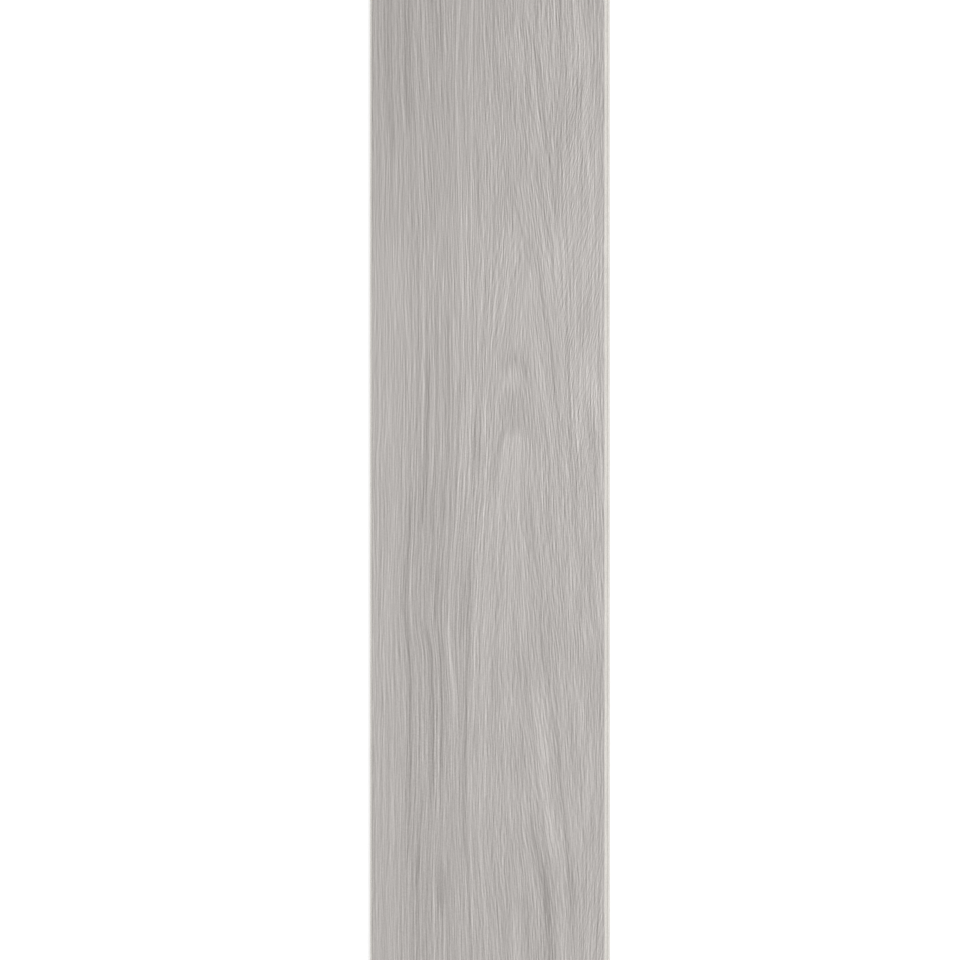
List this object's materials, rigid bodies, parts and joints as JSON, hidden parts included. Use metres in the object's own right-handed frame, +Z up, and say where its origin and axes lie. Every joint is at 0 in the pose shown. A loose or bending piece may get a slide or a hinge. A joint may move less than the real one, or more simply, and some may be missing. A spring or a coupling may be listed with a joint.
{
  "type": "rigid core vinyl plank",
  "caption": "Rigid floor plank with a pale grey oak print, micro-bevelled face, click tongues on two edges and grooves with locking strips on the other two.",
  "frame": {"origin": "on the underside, below the centre of the laid face", "axes": "+X across the plank towards the long groove, +Y along the plank towards the end groove, +Z up out of the printed face"},
  "size_m": [0.1863, 1.2263, 0.005],
  "materials": {
    "plank": "satin"
  },
  "bodies": {
    "root": {"plank": "plank"}
  },
  "joints": []
}
